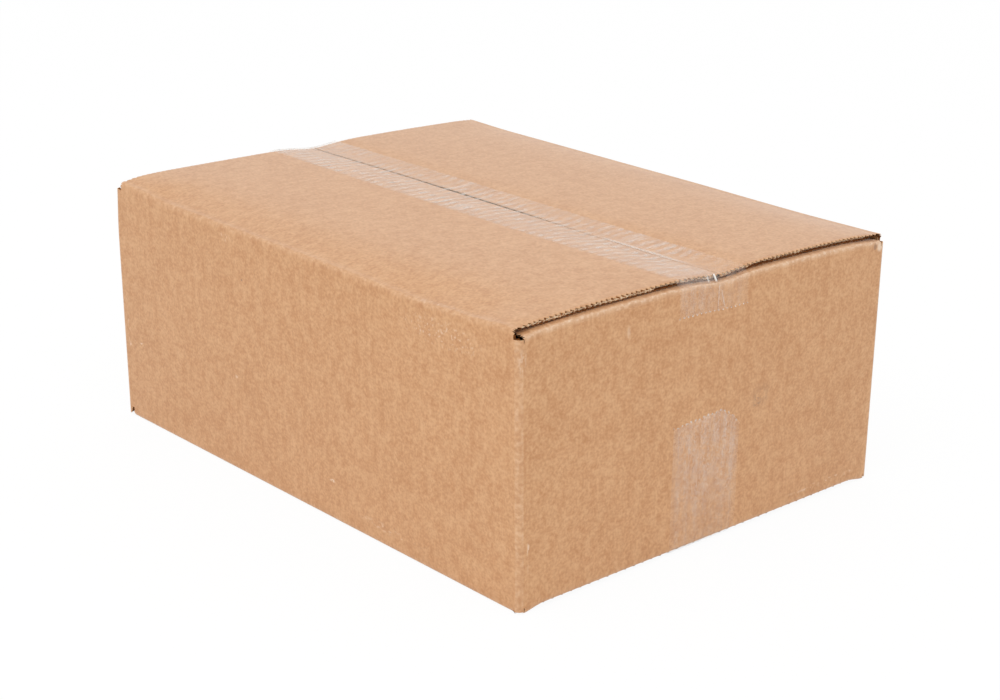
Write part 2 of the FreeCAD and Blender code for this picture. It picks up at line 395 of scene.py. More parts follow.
class Blank:
    """The carton's board: one sheet folded round, slotted, and closed at top and bottom."""

    FINE = (0.0, 1.2, 2.6, 4.4, 7.0, 11.0)
    CREST_WEAR_AND_HIGHLIGHT = 3.4    # how much the end walls' upper folds are painted pale: some rubbing, and a painted highlight of their lit crest
    CREST_BAND = (42, 30)       # where that lies on the fold, in degrees, and how wide
    UNDER_LIFT = (0.12, 6.0)    # how far the lower outer flaps are pressed up, and over what length
    GROOVE_WANDER = (-0.5, 0.3)
    TOOTH_WANDER = (-0.15, 0.15)
    LOWER_WANDER = (-0.4, 0.1)
    FLUTING_THICKNESS = 0.28
    FLUTING_SHADE = (1.1, 0.4, 0.97)   # painted shade: how dark it is at the upper liner, midway and at the lower, darkest where the liners shade it
    SLOPE_STEP = 0.5
    SEED = 7
    LIFT_START = 95.0   # height at which an end wall starts to be drawn up
    PRESS_REACH = 8.0   # how far a fold's press reaches into a wall
    FEW = (0.0, 1.55, 3.1, 4.65, 6.2, 7.75, 9.3, 12.0)
    MEDIUM_DEPTH: Knots = ((-124, 0.4), (-92, 0.4), (-86, 1.2), (-78, 1.0), (-72, 0.3), (-42, 0.3),
                           (-36, 2.2), (-24, 1.8), (-18, 0.8), (24, 0.8), (32, 1.9), (52, 1.4), (60, 0.9),
                           (70, 2.0), (100, 1.7), (124, 1.9))
    FOLD_STEPS = 8

    def __init__(self, carton: Carton, lid: Lid, settling: Settling) -> None:
        """Lays out the blank's columns and rows."""
        self.carton, self.lid, self.settling = carton, lid, settling
        self.board = carton.board
        self.columns: list[Column] = []
        self.kinds: list[Kind] = []
        self._lay_columns()
        self._lay_rows()
        self.random = np.random.default_rng(self.SEED)

    def _run(self, start: tuple, stop: tuple, stations: Sequence[float], kind: Kind) -> None:
        """Adds the columns of a straight run, at stations measured from its start."""
        length = math.dist(start, stop)
        ux, uy = ((stop[i] - start[i]) / length for i in (0, 1))
        if not self.columns:
            self.columns.append(Column(*start, (uy, -ux), 0.0))
        base = self.columns[-1].travel
        for station in stations[1:]:
            place = (start[0] + ux * station, start[1] + uy * station)
            self.columns.append(Column(*place, (uy, -ux), base + station))
            self.kinds.append(kind)

    def _bend(self, centre: tuple, start: float, squeeze: float = 0.0) -> None:
        """Adds the columns of an upright fold, a quarter turn from the angle start."""
        base, radius = self.columns[-1].travel, self.board.fold_radius
        for step in range(1, self.FOLD_STEPS + 1):
            share = step / self.FOLD_STEPS
            turn = math.radians(start + 90.0 * share)
            reach = radius - squeeze * share
            place = (centre[0] + reach * math.cos(turn), centre[1] + reach * math.sin(turn))
            travel = base + radius * math.pi / 2 * share
            self.columns.append(Column(*place, (math.cos(turn), math.sin(turn)), travel))
            self.kinds.append(Kind.POST)

    def _lay_columns(self) -> None:
        """Lays the columns from the free edge of the glued wall, round the carton, to its tab."""
        b, hx, hy = self.board, self.carton.half_length, self.carton.half_width
        r = b.fold_radius
        cx, cy = hx - r, hy - r
        flap = hy - b.side_flap_setback
        side, far = hx - b.side_flap_setback, hx - b.far_setback
        joint = hx - b.thickness - r
        self._run((-hx, hy - b.joint_step), (-hx, flap), (0, 2.5, hy - b.joint_step - flap), Kind.SLIT)
        end_stations = spaced(2 * flap, self.FINE, 7.0)
        self._run((-hx, flap), (-hx, -flap), end_stations, Kind.END)
        self._run((-hx, -flap), (-hx, -cy), (0, b.post_width), Kind.SLIT)
        self._bend((-cx, -cy), 180)
        self._run((-cx, -hy), (-far, -hy), (0, 1.5, cx - far), Kind.POST)
        self._run((-far, -hy), (side, -hy), spaced(far + side, self.FINE, 6.0), Kind.SIDE)
        self._run((side, -hy), (cx, -hy), (0, b.post_width), Kind.POST)
        self._bend((cx, -cy), 270)
        self._run((hx, -cy), (hx, -flap), (0, b.post_width), Kind.SLIT)
        self._run((hx, -flap), (hx, flap), end_stations, Kind.END)
        self._run((hx, flap), (hx, cy), (0, b.post_width), Kind.SLIT)
        self._bend((cx, cy), 0)
        self._run((cx, hy), (side, hy), (0, b.post_width), Kind.POST)
        self._run((side, hy), (-joint, hy), spaced(side + joint, self.FINE, 6.0), Kind.SIDE)
        self._bend((-joint, cy), 90, squeeze=b.tab_air)
        tab_x = -joint - r + b.tab_air
        tab_stations = spaced(b.tab_width, (0.0, 3.0, 8.0), 6.0)
        self._run((tab_x, cy), (tab_x, cy - b.tab_width), tab_stations, Kind.TAB)

    def _lay_rows(self) -> None:
        """Lays the rows: the walls' heights, then each flap's fold and length."""
        b, height = self.board, self.carton.height
        lap = b.thickness + b.flap_clearance
        r = b.fold_radius
        low = [r, b.slot_drop, lap + r, lap + r + b.tab_clearance]
        middle = spaced(height - 2 * low[-1], (0.0, 4.0), 7.0)
        self.wall = low[:-1] + [low[-1] + station for station in middle]
        self.wall += [height - z for z in reversed(low[:-1])]
        top = len(self.wall) - 1
        length = b.flap_reach - r
        teeth = [index * b.tooth_step for index in range(1, int(length / b.tooth_step))] + [length]
        few = spaced(length, self.FEW, 6.0, False)[1:]
        under = spaced(length, (0.0, 3.1), 3.1, False)[1:]
        turned = [("fold", 90.0 * step / self.FOLD_STEPS) for step in range(1, self.FOLD_STEPS + 1)]
        self.flaps = {key: turned + [("flap", station) for station in stations]
                      for key, stations in (((Kind.SIDE, 1), teeth), ((Kind.SIDE, -1), under),
                                            ((Kind.END, 1), few), ((Kind.END, -1), few))}
        self.levels = {Kind.SIDE: (0, top), Kind.POST: (1, top - 1), Kind.SLIT: (2, top - 2),
                       Kind.END: (2, top - 2), Kind.TAB: (3, top - 3)}

    def _span(self, kind: Kind) -> tuple[int, int]:
        """The lowest and highest row of a kind of strip, its flaps counted in."""
        low, high = self.levels[kind]
        if kind in (Kind.SIDE, Kind.END):
            return low - len(self.flaps[kind, -1]), high + len(self.flaps[kind, 1])
        return low, high

    def _has(self, column: int, row: int) -> bool:
        """Whether there is board between a column and the next, and a row and the next."""
        if not 0 <= column < len(self.kinds):
            return False
        low, high = self._span(self.kinds[column])
        return low <= row < high

    def _kind_at(self, column: int, row: int) -> Kind:
        """The kind of strip that carries the point at a column and row."""
        for near in (column, column - 1):
            if self._has(near, row) or self._has(near, row - 1):
                if self.kinds[near] in (Kind.SIDE, Kind.END, Kind.TAB):
                    return self.kinds[near]
        return Kind.POST

    def place(self, column: int, row: int) -> Place:
        """The point on the blank's outer face at a column and row."""
        line = self.columns[column]
        out = np.array([*line.out, 0.0])
        across = np.array([-line.out[1], line.out[0], 0.0])
        up = np.array([0.0, 0.0, 1.0])
        foot = np.array([line.x, line.y, 0.0])
        kind = self._kind_at(column, row)
        low, high = self.levels[kind]
        if low <= row <= high:
            z = self.wall[row]
            if kind is Kind.TAB:
                z = self._tapered(z, line.y)
            corner = 1.0 if abs(line.out[0] * line.out[1]) > 0.1 else 0.0
            press = 1.0
            if kind is Kind.END:
                z += self._crown(line.x, line.y) * float(smooth(z, self.LIFT_START, self.wall[high]))
            if kind in (Kind.SIDE, Kind.END):
                near = min(self.wall[row] - self.wall[low], self.wall[high] - self.wall[row])
                press = self._press(near, self.PRESS_REACH)
            return Place(foot + z * up, out, up, across, (line.travel, z, 0.0), corner, press)
        return self._flap_place(line, kind, row, out, across)

    def _crown(self, x: float, y: float) -> float:
        """How far the bowed outer flaps rise at a place, and draw the end walls' tops with them."""
        return float(self.lid.crown(x, y, self.carton.half_width))

    def _press(self, distance: float, reach: float) -> float:
        """The share of the board's thickness that is left at a distance from a fold."""
        left = self.board.fold_press
        return left + (1 - left) * float(smooth(distance, 0, reach))

    def _tapered(self, z: float, y: float) -> float:
        """The height of a tab's row at y, where the tab narrows towards its free edge."""
        b = self.board
        low = self.wall[self.levels[Kind.TAB][0]]
        middle = self.carton.height / 2
        start = self.carton.half_width - b.fold_radius
        loss = b.tab_taper * (start - y) / b.tab_width
        return middle + (z - middle) * (middle - low - loss) / (middle - low)

    def _flap_place(self, line: Column, kind: Kind, row: int, out: np.ndarray,
                    across: np.ndarray) -> Place:
        """The point at a row of a fold or a flap, above or below the walls."""
        c, b = self.carton, self.board
        low, high = self.levels[kind]
        side = 1 if row > high else -1
        mode, value = self.flaps[kind, side][(row - high if side > 0 else low - row) - 1]
        r = b.fold_radius
        top = c.height if kind is Kind.SIDE else c.end_top
        up = np.array([0.0, 0.0, float(side)])
        base = np.array([line.x, line.y, 0.0 if side < 0 else c.height])
        drop = c.height - top
        lift = 0.0
        if mode == "fold":
            turn = math.radians(value)
            lean = math.cos(turn) * out + math.sin(turn) * up
            outward, upward = b.fold_shape(turn)
            at = base - r * out - (drop + r) * up + r * (outward * out + upward * up)
            ahead = -math.sin(turn) * out + math.cos(turn) * up
            reach, wear_and_highlight = r * turn, math.sin(2 * turn)
            # on top of their rubbing, the end walls' upper folds get a painted highlight of their lit crest
            if kind is Kind.END and side > 0:
                middle, width = self.CREST_BAND
                wear_and_highlight = self.CREST_WEAR_AND_HIGHLIGHT * float(hill(value - middle, width))
        else:
            length = b.flap_reach - r
            stretch = 1.0
            if kind is Kind.SIDE and side > 0:
                seam = float(eased(self.lid.seam_path, line.x))
                opening = float(eased(self.lid.seam_opening, line.x)) / 2
                edge = seam + opening * np.sign(line.y)
                stretch = (c.half_width - r - edge * np.sign(line.y)) / length
            at = base - (r + value * stretch) * out - drop * up
            lean, ahead = up.copy(), -out
            reach, wear_and_highlight = r * math.pi / 2 + value, 0.0
            if side < 0 and kind is Kind.SIDE:
                lift = self.UNDER_LIFT[0] * smooth(value, 0, self.UNDER_LIFT[1])
        if kind is Kind.SIDE and side > 0 and mode == "flap":
            step = self.SLOPE_STEP
            here, right, back = (self._crown(at[0] + dx, at[1] + dy)
                                 for dx, dy in ((0.0, 0.0), (step, 0.0), (0.0, step)))
            lean = np.array([(here - right) / step, (here - back) / step, 1.0])
            lean /= np.linalg.norm(lean)
        if side > 0:
            lift = -self._crown(at[0], at[1])
        at = at - lift * up
        s = (c.height if side > 0 else 0.0) + side * (reach - r - drop)
        press = self._press(max(reach - 5, 0), b.press_reach)
        return Place(at, lean, side * ahead, across, (line.travel, s, 0.0), wear_and_highlight, press)

    def _inward(self, column: int, row: int) -> tuple[int, int]:
        """Which way the board lies from an edge point, along its rows and across its columns."""
        right, left = self._has(column, row), self._has(column - 1, row)
        below_right, below_left = self._has(column, row - 1), self._has(column - 1, row - 1)
        across = int(right) - int(left) + int(below_right) - int(below_left)
        along = int(right) - int(below_right) + int(left) - int(below_left)
        if right + left + below_right + below_left == 3:
            return -int(np.sign(-along)), -int(np.sign(-across))
        return int(np.sign(along)), int(np.sign(across))

    def _edge_profile(self, spot: Place, column: int, row: int) -> list[tuple[np.ndarray, float, float]]:
        """The six points down a cut edge, with their depths and how deep each lies in the cut."""
        b = self.board
        along, across = self._inward(column, row)
        flap_row = not self.levels[Kind.SIDE][0] <= row <= self.levels[Kind.SIDE][1]
        parallel = across != 0 and along == 0
        tooth = lower = 0.0
        groove = b.plain_groove
        if parallel and flap_row:
            wander = self.random.uniform
            groove = b.groove_depth + wander(*self.GROOVE_WANDER)
            tooth = b.tooth_depth * ((row % 2) * 2 - 1) + wander(*self.TOOTH_WANDER)
            lower = 0.8 * b.tooth_depth * (((row + row // 5) % 2) * 2 - 1)
            lower += wander(*self.LOWER_WANDER) - b.lower_setback
        near, far = b.liner, b.thickness - b.liner
        sink = b.tooth_sink if tooth > 0 else 0.0
        # the cut values also paint the open groove and the lower liner's edge dark, as painted shade
        steps = ((0.0, 0.0, tooth, 0.0), (near, 0.0, tooth, 0.62), (near + 0.1, groove, 0.0, 1.0),
                 (far - 0.1, groove, 0.0, 1.0), (far, 0.0, lower, 0.8), (b.thickness, 0.0, lower, 0.8))
        points = []
        for depth, inset, push, cut in steps:
            shift = inset - push
            below = depth + (sink if depth <= near else 0.0)
            points.append((spot.deep(below, along * min(inset, b.plain_groove), across * shift), depth, cut))
        return points

    def shell(self) -> Shell:
        """Builds the closed skin of the whole blank."""
        shell = Shell()
        outer, inner, rims = {}, {}, {}
        for column in range(len(self.columns)):
            spans = [self._span(self.kinds[near]) for near in (column - 1, column)
                     if 0 <= near < len(self.kinds)]
            for row in range(min(s[0] for s in spans), max(s[1] for s in spans) + 1):
                cells = [self._has(column + dc, row + dr) for dc in (-1, 0) for dr in (-1, 0)]
                if not any(cells):
                    continue
                spot = self.place(column, row)
                travel, s, _ = spot.flat
                if all(cells):
                    outer[column, row] = shell.point(spot.at, (travel, s, 0.0), 0.0, spot.wear_and_highlight)
                    inner[column, row] = shell.point(
                        spot.deep(self.board.thickness), (travel, s, self.board.thickness))
                    continue
                rim = [shell.point(place, (travel, s, depth), cut, spot.wear_and_highlight if depth == 0 else 0.0)
                       for place, depth, cut in self._edge_profile(spot, column, row)]
                rims[column, row] = rim
                outer[column, row], inner[column, row] = rim[0], rim[-1]
        for column in range(len(self.kinds)):
            low, high = self._span(self.kinds[column])
            for row in range(low, high):
                ring = [(column + dc, row + dr) for dc, dr in ((0, 0), (1, 0), (1, 1), (0, 1))]
                shell.faces.append(tuple(outer[key] for key in ring))
                shell.faces.append(tuple(inner[key] for key in reversed(ring)))
                for index, (dc, dr) in enumerate(((0, -1), (1, 0), (0, 1), (-1, 0))):
                    if self._has(column + dc, row + dr):
                        continue
                    a, z = rims[ring[index]], rims[ring[(index + 1) % 4]]
                    shell.faces += [(a[i], a[i + 1], z[i + 1], z[i]) for i in range(len(a) - 1)]
        return shell

    def cut_edges(self) -> list[tuple[int, int, list[int]]]:
        """The slot-cut edges of the four outer flaps, as column, inward side and rows."""
        edges = []
        for column in range(len(self.columns)):
            here = self.kinds[column] if column < len(self.kinds) else None
            before = self.kinds[column - 1] if column else None
            if (here is Kind.SIDE) == (before is Kind.SIDE):
                continue
            inward = 1 if here is Kind.SIDE else -1
            low, high = self.levels[Kind.SIDE]
            first, last = self._span(Kind.SIDE)
            edges.append((column, inward, list(range(high + self.FOLD_STEPS + 1, last))))
            edges.append((column, inward, list(range(low - self.FOLD_STEPS - 1, first, -1))))
        return edges

    def fluting(self) -> Shell:
        """The ragged sheet between the liners, where a flap's cut edge lays a flute open."""
        shell = Shell()
        b = self.board
        for column, inward, rows in self.cut_edges():
            drift = self.random.uniform(0, 6, 4)[1]
            before: list[int] = []
            for step, row in enumerate(rows):
                spot = self.place(column, row)
                base = float(eased(self.MEDIUM_DEPTH, spot.at[1])) + 0.3 * math.sin(step / 2 + drift)
                swing = 0.6 * ((step % 2) * 2 - 1)
                depths = (b.liner - 0.05, 0.6 * b.thickness + 0.25 * swing, b.thickness - b.liner + 0.05)
                insets = [min(max(base + push, 0.1), 2.9) for push in (0.9 + swing, -0.1, 0.9 - swing)]
                # the upper and lower rows and the hidden back get cut values that paint them dark, as shade
                front = list(zip(depths, insets, self.FLUTING_SHADE))
                behind = [(depth, inset + self.FLUTING_THICKNESS, 1.0) for depth, inset, _ in front]
                ring = [shell.point(spot.deep(depth, 0, inward * inset), (*spot.flat[:2], depth), cut)
                        for depth, inset, cut in front + behind[::-1]]
                if before:
                    for index in range(6):
                        after = (index + 1) % 6
                        shell.faces.append((before[index], before[after], ring[after], ring[index]))
                else:
                    shell.faces.append(tuple(reversed(ring)))
                before = ring
            shell.faces.append(tuple(before))
        return shell


# Tape


@dataclass
class Tape:
    """A strip of clear tape over a seam and down both end walls."""

    carton: Carton
    lid: Lid
    name: str
    top: bool
    drops: tuple            # down the end at +X and the end at -X
    slants: tuple           # how much longer a drop is across the width, at +X and at -X
    width: float = 48.0
    centre: float = -2.0
    rag: float = 0.5
    film: float = 0.06
    air: float = 0.07
    row_step: float = 1.62
    column_step: float = 1.0
    wall_step: float = 1.5
    tooth: float = 0.35
    off_ground: tuple = (0.075, 0.015)   # the least height of the lower film's inner and outer face
    seed: int = 3

    TURN_STEPS = 6

    WRINKLES = ((-0.2, 0.03, 0.3, 0.9), (2.2, -0.3, 0.2, 0.8), (-12.0, 0.06, 0.15, 1.2))

    def _lid_height(self, x: float, y: float) -> float:
        """Height of the flaps' outer face under the tape, before the carton settles."""
        if not self.top:
            return self.carton.height
        return self.carton.height + float(self.lid.crown(x, y, self.carton.half_width))

    def _run(self, y: float, side: int, drop: float, rows: int) -> list[tuple]:
        """The tape's line at y from the middle of the carton to its cut edge, as x, z and normal."""
        c, b = self.carton, self.carton.board
        stop = c.half_length - b.side_flap_setback
        count = round(stop / self.row_step)
        line = [(stop * i / count, self._lid_height(side * stop * i / count, y), 0.0, 1.0)
                for i in range(count + 1)]
        start = line[-1]
        centre = (c.half_length - b.fold_radius, c.end_top - b.fold_radius + start[1] - c.height)
        bend = [(centre[0] + b.fold_radius * out, centre[1] + b.fold_radius * up)
                for out, up in (b.fold_shape(math.radians(degree)) for degree in range(90))]
        slopes = [(z - start[1]) / max(x - start[0], 0.01) for x, z in bend]
        touch = slopes.index(max(slopes))
        turn = math.radians(touch)
        for i in range(1, self.TURN_STEPS + 1):
            share = i / self.TURN_STEPS
            line.append((start[0] + (bend[touch][0] - start[0]) * share,
                         start[1] + (bend[touch][1] - start[1]) * share, math.cos(turn), math.sin(turn)))
        for i in range(1, self.TURN_STEPS + 1):
            turn = math.radians(touch * (1 - i / self.TURN_STEPS))
            out, up = b.fold_shape(turn)
            line.append((centre[0] + b.fold_radius * out, centre[1] + b.fold_radius * up,
                         math.cos(turn), math.sin(turn)))
        reach = centre[1] - (c.height - drop)
        for i in range(1, rows + 1):
            line.append((c.half_length, centre[1] - reach * i / rows, 1.0, 0.0))
        return line

    def shell(self) -> Shell:
        """Builds the closed film."""
        shell = Shell()
        random = np.random.default_rng(self.seed)
        columns = round(self.width / self.column_step)
        grid: list[list[tuple[int, int]]] = []
        ragged = {side: random.uniform(-0.5, 0.5, columns + 1) for side in (1, -1)}
        for column in range(columns + 1):
            share = column / columns
            y = self.centre + self.width * (share - 0.5)
            stack = []
            halves = {}
            for side, drop, slant in zip((1, -1), self.drops, self.slants):
                tooth = self.tooth * ((column % 3) - 1) + self.rag * ragged[side][column]
                down = drop + float(eased(slant, share))
                halves[side] = self._run(y, side, down, max(6, round(drop / self.wall_step)))
                x, z, nx, nz = halves[side][-1]
                halves[side][-1] = (x, z + tooth, nx, nz)
            route = [(-1, *p) for p in reversed(halves[-1][1:])] + [(1, *p) for p in halves[1]]
            travel = 0.0
            previous = None
            for row, (side, x, z, nx, nz) in enumerate(route):
                if previous is not None:
                    travel += math.dist(previous, (side * x, z))
                previous = (side * x, z)
                pair = []
                torn = row in (0, len(route) - 1) and column % 3 == 0
                for lift, least in zip((self.air, self.air + self.film), self.off_ground):
                    px, pz = x + nx * (lift + self._crinkle(x, y, z)), z + nz * lift
                    if not self.top:
                        pz = max(self.carton.height - pz, least)
                    pair.append(shell.point((side * px, y, pz), (y, travel, z), float(torn)))
                stack.append(tuple(pair))
            grid.append(stack)
        rows = len(grid[0])
        for i in range(columns):
            for j in range(rows - 1):
                a, b, c, d = grid[i][j], grid[i + 1][j], grid[i + 1][j + 1], grid[i][j + 1]
                shell.faces += [(a[1], b[1], c[1], d[1]), (d[0], c[0], b[0], a[0])]
        rim = [(grid[i][j], grid[i][j + 1]) for j in range(rows - 1) for i in (0, columns)]
        rim += [(grid[i][j], grid[i + 1][j]) for i in range(columns) for j in (0, rows - 1)]
        shell.faces += [(a[0], a[1], b[1], b[0]) for a, b in rim]
        return shell

    def _crinkle(self, x: float, y: float, z: float) -> float:
        """How far the film stands off the end wall, in thin upright wrinkles."""
        if x < self.carton.half_length - 5 or not self.top:
            return 0.0
        return sum(height * float(hill(y - where - lean * (z - 130), width))
                   for where, lean, height, width in self.WRINKLES)


# Shader graphs


def maths(operation: str, *numbers: object) -> "Wire":
    """Adds one Math node, in the graph of whichever number is a wire."""
    graph = next(number.graph for number in numbers if isinstance(number, Wire))
    return graph.add("ShaderNodeMath", {"operation": operation}, dict(enumerate(numbers)))


def operator(operation: str, reflected: bool = False) -> Callable:
    """Makes an arithmetic method of a wire.

    Args:
        operation: the Math node's operation.
        reflected: whether the wire is the second number.

    Returns:
        A method that takes another number and gives a new wire.
    """
    def method(self: "Wire", other: object) -> "Wire":
        """Adds the Math node for this wire and another number."""
        return maths(operation, *((other, self) if reflected else (self, other)))

    return method


@dataclass(frozen=True)
class Wire:
    """A number that a shader works out, with arithmetic that adds Math nodes."""

    graph: "Graph"
    socket: bpy.types.NodeSocket

    __add__, __radd__ = operator("ADD"), operator("ADD", True)
    __sub__, __rsub__ = operator("SUBTRACT"), operator("SUBTRACT", True)
    __mul__, __rmul__ = operator("MULTIPLY"), operator("MULTIPLY", True)
    larger = operator("MAXIMUM")

    def __abs__(self) -> "Wire":
        """The size without the sign."""
        return maths("ABSOLUTE", self, 0.0)

    def sine(self) -> "Wire":
        """The sine of this angle in radians."""
        return maths("SINE", self, 0.0)

    def between(self, start: float, full: float, falling: float, gone: float) -> "Wire":
        """Eases from 0 at start to 1 at full, and back from 1 at falling to 0 at gone."""
        return self.eased(start, full) * (1 - self.eased(falling, gone))

    def eased(self, start: float, stop: float) -> "Wire":
        """Eases from 0 at start to 1 at stop."""
        settings = {"interpolation_type": "SMOOTHSTEP"}
        return self.graph.add("ShaderNodeMapRange", settings,
                              {"Value": self, "From Min": start, "From Max": stop})


class Graph:
    """The node tree of one material or world."""

    def __init__(self, tree: bpy.types.NodeTree) -> None:
        """Starts with an empty tree."""
        self.tree = tree
        tree.nodes.clear()

    def node(self, kind: str, settings: dict, inputs: dict) -> bpy.types.Node:
        """Adds a node.

        Args:
            kind: the node's type.
            settings: the node's own settings, set first.
            inputs: values or links of its sockets, by name or number.

        Returns:
            The new node.
        """
        made = self.tree.nodes.new(kind)
        for key, value in settings.items():
            setattr(made, key, value)
        for key, value in inputs.items():
            if isinstance(value, Wire):
                self.tree.links.new(value.socket, made.inputs[key])
            else:
                made.inputs[key].default_value = value
        return made

    def add(self, kind: str, settings: dict, inputs: dict, output: object = 0) -> Wire:
        """Adds a node and gives one of its outputs."""
        return Wire(self, self.node(kind, settings, inputs).outputs[output])

    def scaled(self, vector: Wire, factors: Sequence[float]) -> Wire:
        """A vector times three factors."""
        return self.add("ShaderNodeVectorMath", {"operation": "MULTIPLY"}, {0: vector, 1: factors})

    def moved(self, vector: Wire, offset: object) -> Wire:
        """A vector with another added."""
        return self.add("ShaderNodeVectorMath", {"operation": "ADD"}, {0: vector, 1: offset})

    def noise(self, vector: Wire, factors: Sequence[float], detail: float = 2.0,
              roughness: float = 0.5, offset: float = 0.0) -> Wire:
        """Cloud noise of about 0 to 1, its cells sized by three factors on the vector."""
        place = self.moved(self.scaled(vector, factors), (offset, 2 * offset, 3 * offset))
        return self.add("ShaderNodeTexNoise", {"noise_dimensions": "3D"},
                        {"Vector": place, "Scale": 1.0, "Detail": detail, "Roughness": roughness})

    def mixed(self, factor: object, first: object, second: object) -> Wire:
        """A colour between two colours."""
        first, second = ((*c, 1.0) if isinstance(c, tuple) and len(c) == 3 else c for c in (first, second))
        return self.add("ShaderNodeMix", {"data_type": "RGBA"}, {0: factor, 6: first, 7: second}, 2)

    def parts(self, vector: Wire) -> list[Wire]:
        """A vector's three numbers."""
        split = self.node("ShaderNodeSeparateXYZ", {}, {0: vector})
        return [Wire(self, output) for output in split.outputs]

    def bump(self, strength: float, height: Wire) -> Wire:
        """The surface's direction where a height in millimetres roughens it."""
        return self.add("ShaderNodeBump", {},
                        {"Strength": strength, "Distance": METRES, "Height": height})

    def principled(self, inputs: dict) -> Wire:
        """A Principled shader."""
        return self.add("ShaderNodeBsdfPrincipled", {}, inputs)

    def surface(self, shader: Wire, owner: str = "Material") -> None:
        """Ends the graph in a surface shader."""
        self.node(f"ShaderNodeOutput{owner}", {}, {"Surface": shader})

    def attribute(self, name: str, output: str) -> Wire:
        """A value that the mesh carries."""
        return self.add("ShaderNodeAttribute", {"attribute_name": name}, {}, output)

    def place(self) -> Wire:
        """The point on the object, in millimetres."""
        point = self.add("ShaderNodeTexCoord", {}, {}, "Object")
        return self.scaled(point, (1 / METRES,) * 3)


def new_material(name: str) -> tuple[bpy.types.Material, Graph]:
    """An empty material and the graph of its nodes."""
    material = bpy.data.materials.new(name)
    material.use_nodes = True
    return material, Graph(material.node_tree)


@dataclass(frozen=True)
class Mark:
    """A patch of scuffs or dirt on the board, given by its middle and its half sizes."""

    middle: tuple
    reach: tuple
    strength: float = 0.6
    fleck: tuple = (0.45, 0.35, 0.3)   # flecks to a millimetre, on each axis
    threshold: float = 0.56

    def mask(self, graph: Graph, place: Wire) -> Wire:
        """How strongly the mark covers the surface."""
        near = graph.moved(place, tuple(-value for value in self.middle))
        near = graph.scaled(near, tuple(1 / value for value in self.reach))
        distance = graph.add("ShaderNodeVectorMath", {"operation": "LENGTH"}, {0: near}, "Value")
        grain = graph.noise(place, self.fleck, 2.0, 0.6, self.middle[0] * 0.13)
        shape = distance.eased(1.0, 0.35)
        return shape * grain.eased(self.threshold, self.threshold + 0.09) * self.strength


